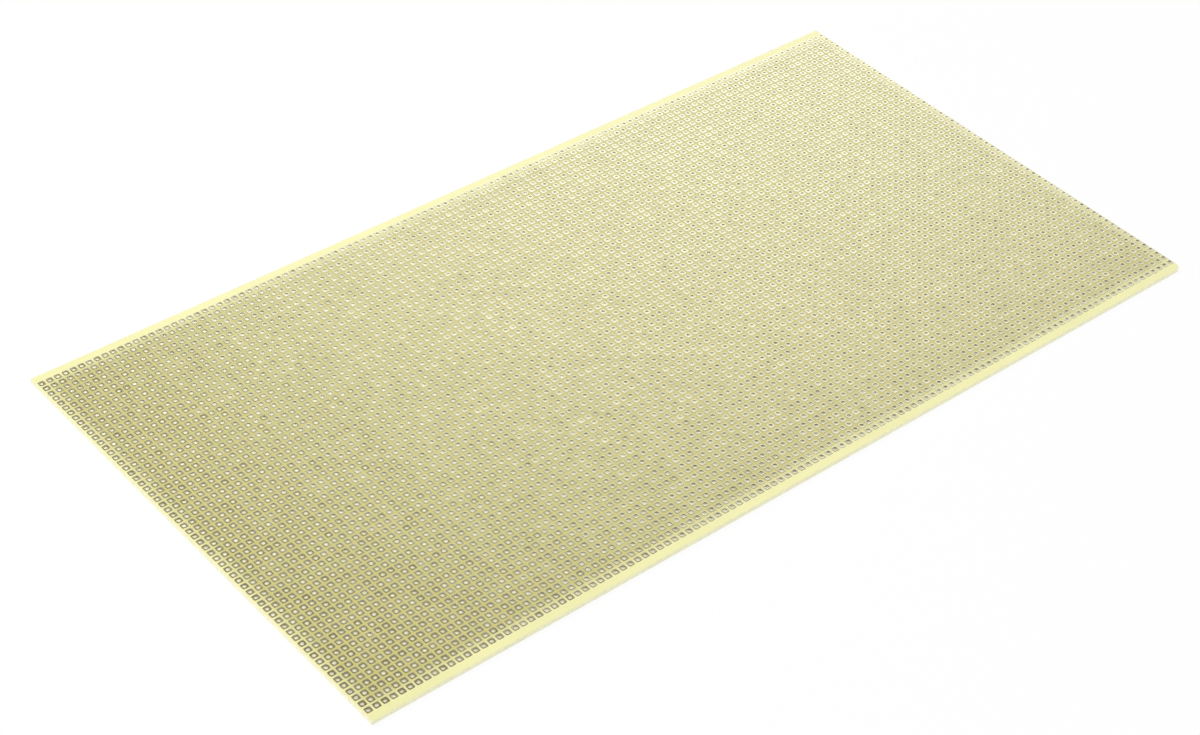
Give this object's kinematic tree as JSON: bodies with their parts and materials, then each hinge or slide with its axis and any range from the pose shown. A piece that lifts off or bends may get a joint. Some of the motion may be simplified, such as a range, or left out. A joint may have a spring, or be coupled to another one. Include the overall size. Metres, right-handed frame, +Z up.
{
  "type": "perforated prototype board",
  "caption": "Flat rectangular sheet of glass-epoxy laminate drilled all over on a square grid, with a soldering pad round each hole on its upper face.",
  "frame": {"origin": "middle of the underside, which is the bare face that the sheet lies on", "axes": "+X along the sheet's length, +Y across it, +Z up from the underside to the soldering face"},
  "size_m": [0.2994, 0.1594, 0.0015],
  "materials": {
    "laminate": "satin",
    "pads": "satin"
  },
  "bodies": {
    "root": {"laminate_01": "laminate", "laminate_02": "laminate", "laminate_03": "laminate", "laminate_04": "laminate", "laminate_05": "laminate", "laminate_06": "laminate", "laminate_07": "laminate", "laminate_08": "laminate", "laminate_09": "laminate", "laminate_10": "laminate", "laminate_11": "laminate", "laminate_12": "laminate", "laminate_13": "laminate", "laminate_14": "laminate", "laminate_15": "laminate", "laminate_16": "laminate", "laminate_17": "laminate", "laminate_18": "laminate", "laminate_19": "laminate", "laminate_20": "laminate"}
  },
  "joints": []
}
